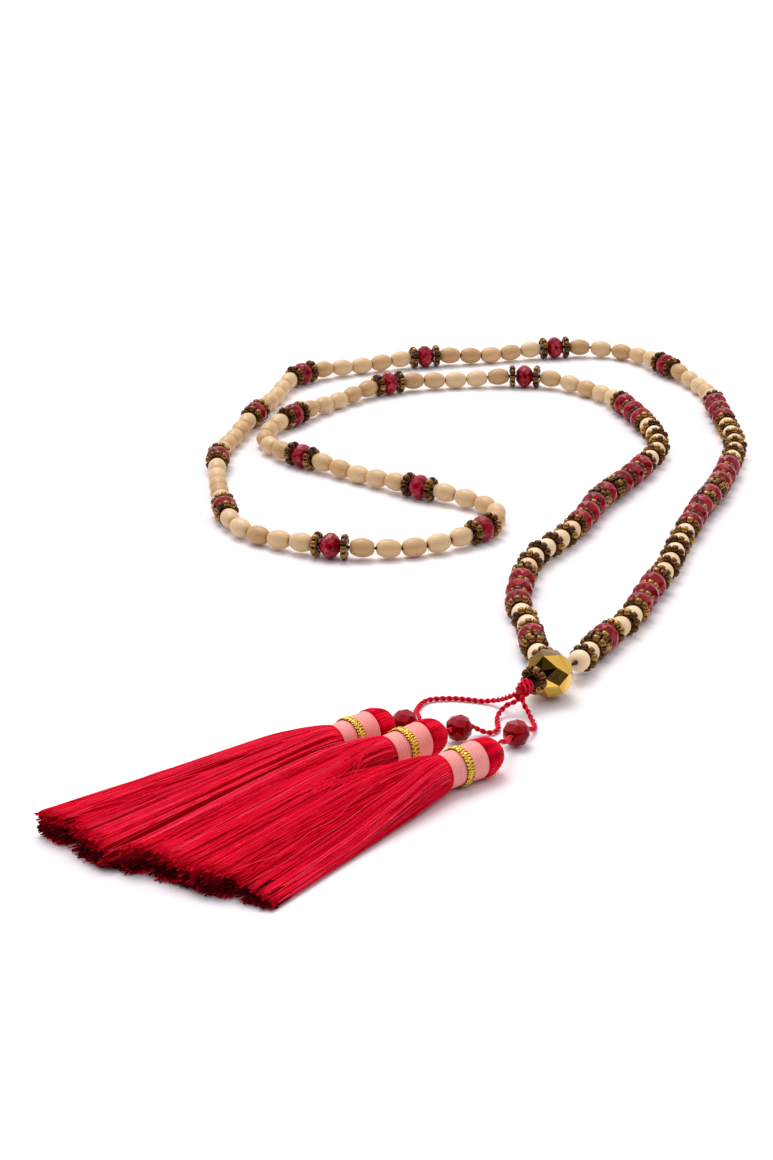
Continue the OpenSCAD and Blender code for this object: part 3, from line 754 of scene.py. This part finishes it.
# Thickness of the floss, rows of points in each of its turns, and points in a row
WRAP_PITCH, WRAP_ROWS, WRAP_COLUMNS = 0.32, 4, 44
BRAID_LEN, BRAID_WALL, BRAID_SHARE = 2.8, 0.5, 0.54
BRAID_STEPS, CROSSINGS = 250, 13
YARN_R, YARN_GAP, YARN_SIDES = 0.17, 0.28, 6
SKIRT_LEN, SKIRT_W, SKIRT_H, SKIRT_SWELL = 82.0, 21.4, 7.6, 2.4
# Locks that the skirt's outline parts into, and how deep the grooves between them are
LOCKS, LOCK_DEPTH = 14, 0.7
# Share of the skirt's length in which it turns to the direction of its end
BEND_SHARE = 0.25
SPREAD_POWER, SWELL_POWER, SETTLE_POWER, THIN_POWER = 0.95, 0.55, 5, 1.6
# How much the outline goes from an ellipse to a box
SKIRT_SQUARE = 0.5
HEAD_LEN = CAP_LEN + WRAP_LEN
HEAD_Z = 5.37067
NECK_D = WRAP_D - WRAP_TAPER + 0.3
# Silk with a higher tone than this shows the painted glint
TOP_TONE = 0.66
# Count, depth under the skirt's surface, thickness and tone of two layers of threads
LOWER_THREADS = (320, 0.5, 0.22, 0.46)
UPPER_THREADS = (520, 0.2, 0.14, 0.52)
GLINTS, CUT_ENDS, STRAYS = 28, 900, 7
GLINT_R, CUT_R, STRAY_R, JOIN_R = 0.09, 0.2, 0.13, 0.19
GLINT_DEPTH, GLINT_TONES, STRAY_TONE = 0.08, (0.72, 0.95), 0.6
# Gap between a skirt and the floor, and the least height of a thread's middle
FLOOR_GAP, THREAD_Z = 0.02, 0.2
# Sides of a silk thread, and points along a strand, a joining thread and a stray one
SILK_SIDES, STRAND_STEPS, JOIN_STEPS, STRAY_STEPS = 3, 24, 18, 20
# Depth under the skirt's surface, share of its length and tone of the skirt's heart, a darker sheet of
# painted shade
HEART_DEPTH, HEART_END, HEART_TONE = 0.75, 0.975, 0.42
HEART_ROWS, HEART_COLUMNS = 26, 84
# How unevenly the threads are cut, and how far inside the cut face their ends show
UNEVEN_CUT, CUT_DEPTH = 0.45, 4.0
# Shares of the skirt's length at which the points of a cut end lie before its tip
CUT_SHARES = np.array([0.06, 0.04, 0.02, 0])
# Threads that mingle with the next tassel: its letter, their count, and how far round
# its side they may lie, in degrees
JOINED = {"a": ("b", 160, 0), "b": ("c", 280, 60)}
JOIN_START = 0.25
Tassel = namedtuple("Tassel", "tip head_dir end_dir length width thin cut spread")
# Tip of the cap, directions of the head and of the skirt's end, shares of the
# skirt's length and width, how far its free edge thins out, how much longer its left
# and right threads are, and how much wider its left and right sides lie at the end
TASSELS = {
    "a": Tassel((-42.4, -27.9), 223, 218.3, 0.98, 1.05, 0.0, (0, -1.5), (0, 0.42)),
    "b": Tassel((-29.1, -34.6), 223, 225, 0.94, 1.0, 0.0, (3, 0), (-0.5, 0)),
    "c": Tassel((-15.1, -46.3), 221.5, 229.7, 0.89, 1.0, 0.7, (3, 0), (0, 0)),
}


def skirt_line(tassel, u):
    """Middle line of a skirt in plan and its cross direction, at shares of its length"""
    length = SKIRT_LEN * tassel.length
    ahead = bearing(tassel.head_dir)[:2]
    a = tassel.tip + ahead * HEAD_LEN
    b, c = a + ahead * length * BEND_SHARE, a + bearing(tassel.end_dir)[:2] * length
    u = u[..., None]
    way = unit((b - a) * (1 - u) + (c - b) * u)
    return (a * (1 - u) ** 2 + b * 2 * u * (1 - u) + c * u ** 2,
            np.stack([way[..., 1], -way[..., 0]], -1))


def skirt_point(tassel, u, angle, depth):
    """Point of the skirt at a share of its length, round its outline, below its surface"""
    left = 0.5 + 0.5 * np.sign(np.cos(angle)) * np.abs(np.cos(angle)) ** 0.5
    longer = tassel.cut[0] * left + tassel.cut[1] * (1 - left)
    u = u * (1 + longer / SKIRT_LEN * u ** 2)
    share = np.clip(u, 0, 1)
    width = NECK_D + (SKIRT_W * tassel.width - NECK_D) * u ** SPREAD_POWER - 2 * depth
    full = (NECK_D + (SKIRT_H - NECK_D) * u
            + SKIRT_SWELL * np.sin(np.pi * share ** SWELL_POWER))
    middle = np.maximum(full / 2 + FLOOR_GAP, HEAD_Z * (1 - share) ** SETTLE_POWER)
    lock = 1 - LOCK_DEPTH * grown(u, 4) * (1 - np.cos(angle * LOCKS)) / width
    power = 1 - SKIRT_SQUARE * grown(u, 3)
    x = np.abs(np.cos(angle)) ** power * np.sign(np.cos(angle)) * lock
    y = np.abs(np.sin(angle)) ** power * np.sign(np.sin(angle)) * lock
    thin = tassel.thin * grown(u, 1.5) * np.maximum(0, 0.5 - x / 2) ** THIN_POWER
    half = full / 2 * (1 - thin)
    z = middle - full / 2 + half + y * np.maximum(half - depth, 0.1)
    spread = 1 + np.where(x > 0, *tassel.spread) * share ** 2
    line, cross = skirt_line(tassel, u)
    return np.concatenate([line + cross * (x * width / 2 * spread)[..., None], z[..., None]], -1)


def silk(path, radius, tone):
    """Silk threads along paths, with a tone at each of their points"""
    points, faces = lofts(tubes(path, radius, SILK_SIDES))
    return points, faces, np.repeat(np.broadcast_to(tone, path.shape[:2]), SILK_SIDES)


def strands(tassel, count, depth, thick, tone):
    """Silk threads down a skirt at one depth, each wandering a little on its way"""
    u = np.linspace(0.001, 1, STRAND_STEPS) ** 0.9
    start = (np.arange(count) + rng.uniform(-0.4, 0.4, count))[:, None] * 2 * np.pi / count
    drift, shade, _ = np.hsplit(rng.uniform(0, 2 * np.pi, (count, 3)), 3)
    share = u * (1 + rng.normal(0, UNEVEN_CUT, (count, 1)) / SKIRT_LEN)
    angle = (start + rng.normal(0, 0.06, (count, 1)) * share
             + 0.03 * np.sin(share * 10 + drift) * share
             + 0.05 * share * np.sin(start * 9 + 1.3 + 2 * share))
    # Bundles of threads that part and join again, with painted shade in the grooves
    bundle = (0.6 * np.sin(angle * 26 + 5 * np.sin(share * 4 + start * 3))
              + 0.4 * np.sin(angle * 61 + 4 * np.sin(share * 7 + start * 5)))
    deep = depth - 0.14 * bundle * grown(share, 8) + rng.uniform(-0.08, 0.08, (count, 1))
    path = skirt_point(tassel, share, angle, deep)
    path[..., 2] = np.maximum(path[..., 2], thick)
    radius = thick * rng.uniform(0.8, 1.15, (count, 1))
    # Painted shade: threads in the grooves between bundles are darker, those on the crowns lighter
    each = (tone + rng.normal(0, 0.12, (count, 1)) + 0.14 * bundle
            + 0.08 * np.sin(share * 13 + shade))
    return silk(path, radius, np.clip(each, 0, TOP_TONE))


def joining(left, right, count, top):
    """Threads of two skirts that leave one of them, mingle and fill the groove between"""
    share = np.linspace(0, 1, JOIN_STEPS)
    start = JOIN_START + rng.uniform(-0.08, 0.12, (count, 1))
    u = (start + share * (1 - start)) * (1 + rng.normal(0, UNEVEN_CUT, (count, 1)) / SKIRT_LEN)
    rise = np.radians(rng.uniform(-60, top, (count, 1)))
    own = rng.integers(0, 2, (count, 1))
    near = grown(share, 2.2)
    ease = near ** 2 * (3 - 2 * near)
    place = rng.uniform(-0.1, 1.1, (count, 1)) + 0.08 * np.sin(u * 9 + rng.uniform(0, 6, (count, 1)))
    mix = np.clip(own + (place - own) * ease, 0, 1)[..., None]
    sink = 0.5 - 0.4 * grown(share, 5)
    path = (skirt_point(left, u, np.pi - rise, sink) * (1 - mix)
            + skirt_point(right, u, rise, sink) * mix)
    path[..., 2] = np.maximum(path[..., 2], THREAD_Z)
    radius = JOIN_R * rng.uniform(0.8, 1.1, (count, 1))
    # Painted shade: the cut ends get a darker tone low down
    low = np.clip(1 - path[..., 2] / (0.8 * SKIRT_H), 0, 1) * np.clip((u - 0.94) * 25, 0, 1)
    each = 0.52 + rng.normal(0, 0.12, (count, 1)) + 0.08 * np.sin(u * 13) - 0.7 * low
    return silk(path, radius, np.clip(each, 0, TOP_TONE))


def cut_ends(tassel, count):
    """Short thread ends that fill the cut face of a skirt, darker lower down as painted shade"""
    angle = rng.uniform(0, 2 * np.pi, (count, 1))
    deep = CUT_DEPTH * rng.uniform(0.02, 1, (count, 1)) ** 1.2
    end = 1 + rng.normal(0, 0.5, (count, 1)) / SKIRT_LEN
    path = skirt_point(tassel, end - CUT_SHARES, angle, deep)
    path[:, -1] += rng.normal(0, 0.25, (count, 3))
    path[..., 2] = np.maximum(path[..., 2], THREAD_Z)
    # Painted shade: ends lower on the cut face get a darker tone
    top = np.clip((path[:, -1:, 2] - 0.45 * SKIRT_H) / (0.5 * SKIRT_H), 0, 1)
    return silk(path, CUT_R, np.clip(0.55 * top + rng.uniform(-0.12, 0.12, (count, 1)), 0, 1))


def glints(tassel, count):
    """Single pale threads on top that carry a painted glint, wavier than the rest"""
    u = np.linspace(0.03, 0.99, STRAND_STEPS)
    slow, fast = np.hsplit(rng.uniform(0, 2 * np.pi, (count, 2)), 2)
    angle = (rng.uniform(0, np.pi, (count, 1)) + 0.035 * np.sin(u * 8 + slow) * u
             + 0.012 * np.sin(u * 21 + fast) * u)
    path = skirt_point(tassel, u, angle, GLINT_DEPTH)
    return silk(path, GLINT_R, rng.uniform(*GLINT_TONES, (count, 1)))


def skirt_heart(tassel):
    """Body of the skirt under the threads, a darker sheet seen between them as painted shade"""
    u = np.linspace(0, HEART_END, HEART_ROWS)[:, None]
    rings = skirt_point(tassel, u, -full_turn(HEART_COLUMNS), HEART_DEPTH)
    return *lofts(rings[None]), HEART_TONE


def strays(tassel, count):
    """A few threads that have left the skirt near its end"""
    leave = 0.35
    u = np.linspace(leave, 1, STRAY_STEPS)
    angle = rng.uniform(0, np.pi, (count, 1))
    away = (u - leave) ** 2 * rng.uniform(2, 8, (count, 1))
    path = skirt_point(tassel, u, angle, 0.2 - away * 0.6)
    path[..., 2] = np.maximum(0.25, path[..., 2] - away * 0.8)
    return silk(path, STRAY_R, STRAY_TONE)


def round_head(tassel, s, reach, angle):
    """Points round the head, which is straight and level, at distances from its tip"""
    ahead = bearing(tassel.head_dir)
    line = np.append(tassel.tip, HEAD_Z) + s[..., None] * ahead
    return line + reach[..., None] * (np.cos(angle)[..., None] * UP
                                      + np.sin(angle)[..., None] * np.cross(ahead, UP))


def wrap_reach(s):
    """Radius of the wrap, which gets narrower towards the skirt"""
    return (WRAP_D - WRAP_TAPER * (s - CAP_LEN) / WRAP_LEN) / 2


def cap(tassel):
    """Gathered cap: silk folded over the cord in uneven ridges, with painted shade in the grooves
    between them
    """
    shares = np.array([0.0, 0.01, 0.03, 0.07, 0.13, 0.22, 0.33, 0.46, 0.6, 0.75, 0.88, 0.97, 1.0])
    reach = CAP_D / 2 * np.sin(np.pi / 2 * np.minimum(1, 0.08 + shares * 1.25)) ** 0.55
    reach[0] = 0.5
    reach[-1] = WRAP_D / 2 - WRAP_WALL - FIT
    shares, reach = shares[:, None], reach[:, None]
    angle = full_turn(CAP_COLUMNS)
    drift = rng.uniform(0, 6)
    lean = angle + 0.12 * shares * np.sin(3 * angle + drift)
    wave = ((0.5 - 0.5 * np.cos(lean * CAP_RIDGES + 2 * np.sin(angle * 5)))
            * (0.65 + 0.35 * np.sin(angle * 11 + drift)))
    # Blunt corners where bundles of thread turn over the shoulder
    blunt = 0.018 * (1 + np.cos(angle * 7 + drift)) * np.sin(np.pi * shares) ** 0.5
    fold = reach * (1 - 0.03 * wave - blunt) - 0.08 * wave * grown(shares, 9)
    points, faces = lofts(round_head(tassel, shares * CAP_LEN, fold, angle)[None])
    blotch = 0.15 * np.sin(angle * 2 + drift + 3 * shares) * np.sin(angle * 5 + 2 * drift)
    # Painted shade: the grooves between the ridges are darker
    return points, faces, np.clip(0.56 - 0.36 * wave + blotch, 0, TOP_TONE).ravel()


def wound_wrap(tassel):
    """Pink floss wound side by side round the neck"""
    first, last = CAP_LEN + FIT, HEAD_LEN - FIT
    count = int((last - first) / WRAP_PITCH) * WRAP_ROWS
    s = np.linspace(first, last, count)[:, None]
    angle = full_turn(WRAP_COLUMNS)
    turn = (s - first) / WRAP_PITCH + angle / (2 * np.pi)
    groove = np.abs(np.cos(np.pi * turn)) ** 4
    reach = wrap_reach(s) - 0.09 * groove - 0.03 + 0.025 * np.sin(s * 1.7) * np.sin(angle * 2 + s)
    reach[0] = reach[-1] = wrap_reach(s[-1]) - 0.2
    inner = np.full((1, WRAP_COLUMNS), (WRAP_D - WRAP_TAPER) / 2 - WRAP_WALL)
    rings = round_head(tassel, np.concatenate([s[:1], s, s[-1:]]),
                       np.concatenate([inner, reach, inner]), angle)
    points, faces = lofts(rings[None])
    # Painted shade in the grooves between turns, and turns of floss that differ a little, as it is
    # flatter or fuller there
    tone = 0.55 - 0.4 * groove + 0.14 * np.sin(np.floor(turn) * 2.4)
    edge = np.zeros(WRAP_COLUMNS)
    return points, faces, np.concatenate([edge, np.clip(tone, 0, 1).ravel(), edge])


def plaited_braid(tassel):
    """Flat, uneven plait of gold film yarn round the wrap: three strands of four yarns"""
    angle = full_turn(BRAID_STEPS)
    middle = CAP_LEN + WRAP_LEN * BRAID_SHARE
    swing_width = BRAID_LEN / 2 - 3 * YARN_R - 0.15
    drift = rng.uniform(0, 2 * np.pi, 2)
    uneven = 0.5 * np.sin(3 * angle + drift[0]) + 0.3 * np.sin(7 * angle + drift[1])
    around = full_turn(YARN_SIDES)[:, None]
    at = np.arange(BRAID_STEPS * YARN_SIDES).reshape(BRAID_STEPS, YARN_SIDES)
    b = np.roll(at, -1, 0)
    faces = np.stack([at, b, np.roll(b, -1, 1), np.roll(at, -1, 1)], -1).reshape(-1, 4).tolist()
    parts = []
    for strand in range(3):
        swing = angle * CROSSINGS + strand * 2 * np.pi / 3 + uneven
        for side in (-1.5, -0.5, 0.5, 1.5):
            s = (middle + swing_width * (1 - 0.2 * np.abs(uneven)) * np.sin(swing)
                 + side * (YARN_GAP + 0.06 * np.sin(2 * swing + side)))
            reach = (wrap_reach(s) + BRAID_WALL / 2 + 0.12 * np.sin(2 * swing)
                     + 0.03 * rng.normal(0, 1, BRAID_STEPS))
            path = round_head(tassel, s, reach, angle)
            out = round_head(tassel, s, reach + 1, angle) - path
            wide = np.cross(out, unit(np.roll(path, -1, 0) - np.roll(path, 1, 0)))
            rings = path[:, None] + YARN_R * (1.1 * np.sin(around) * wide[:, None]
                                              + 0.8 * np.cos(around) * out[:, None])
            # Painted shade: yarns are lighter where they stand out and darker where they lie low
            tone = np.clip(0.5 + 0.4 * np.sin(2 * swing) + rng.normal(0, 0.15, BRAID_STEPS), 0, 1)
            parts.append((rings.reshape(-1, 3), faces, np.repeat(tone, YARN_SIDES)))
    return parts


for letter, tassel in TASSELS.items():
    threads = [cap(tassel), skirt_heart(tassel), strands(tassel, *LOWER_THREADS),
               strands(tassel, *UPPER_THREADS), glints(tassel, GLINTS),
               cut_ends(tassel, CUT_ENDS), strays(tassel, STRAYS)]
    if letter in JOINED:
        neighbour, count, top = JOINED[letter]
        threads.append(joining(tassel, TASSELS[neighbour], count, top))
    piece("silk_tassel_" + letter, threads, "red_silk", ["tassel_" + letter])
    piece("pink_wrap_" + letter, [wound_wrap(tassel)], "pink_floss", ["wrap_" + letter])
    piece("gold_braid_" + letter, plaited_braid(tassel), "gold_lurex", ["braid_" + letter])


# Thread kept from the CAD

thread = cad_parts["string_thread"].data
thread.materials.clear()
thread.materials.append(FINISHES["brown_thread"])


# Floor and light

# In metres
FLOOR_REACH = 12.0
CORNERS = ((-1, -1), (1, -1), (1, 1), (-1, 1))

floor_mesh = bpy.data.meshes.new("floor")
floor_mesh.from_pydata([(x * FLOOR_REACH, y * FLOOR_REACH, 0) for x, y in CORNERS], [],
                       [(0, 1, 2, 3)])
floor_mesh.materials.append(finish_named("white_paper", floor_paper))
floor = put("floor", floor_mesh)

scene.view_settings.view_transform = "Standard"

world = bpy.data.worlds.new("soft_room")
scene.world = world
world.use_nodes = True
world.node_tree.nodes.clear()
sky = add(world, "ShaderNodeTexCoord")
split = add(world, "ShaderNodeSeparateXYZ", {"Vector": sky.outputs["Generated"]})
# Bright ceiling and back wall, and a dim room in front
lean = add(world, "ShaderNodeMath", {0: split.outputs["Y"], 1: 0.45, 2: split.outputs["Z"]},
           operation="MULTIPLY_ADD")
room = add(world, "ShaderNodeValToRGB", {"Fac": lean.outputs[0]},
           stops=[(0.0, "#3C3A40"), (0.3, "#B8B6BE"), (0.6, "#FFFFFF")])
glow = add(world, "ShaderNodeBackground", {"Color": room.outputs["Color"], "Strength": 1.0})
add(world, "ShaderNodeOutputWorld", {"Surface": glow.outputs["Background"]})

# Large soft light above, from behind and a little from the left
softbox = bpy.data.lights.new("top_softbox", "SUN")
softbox.energy = 1.5
softbox.angle = math.radians(35)
softbox.color = linear("#FFFBF6")[:3]
put("top_softbox", softbox).rotation_euler = (math.radians(-24), 0, math.radians(20))
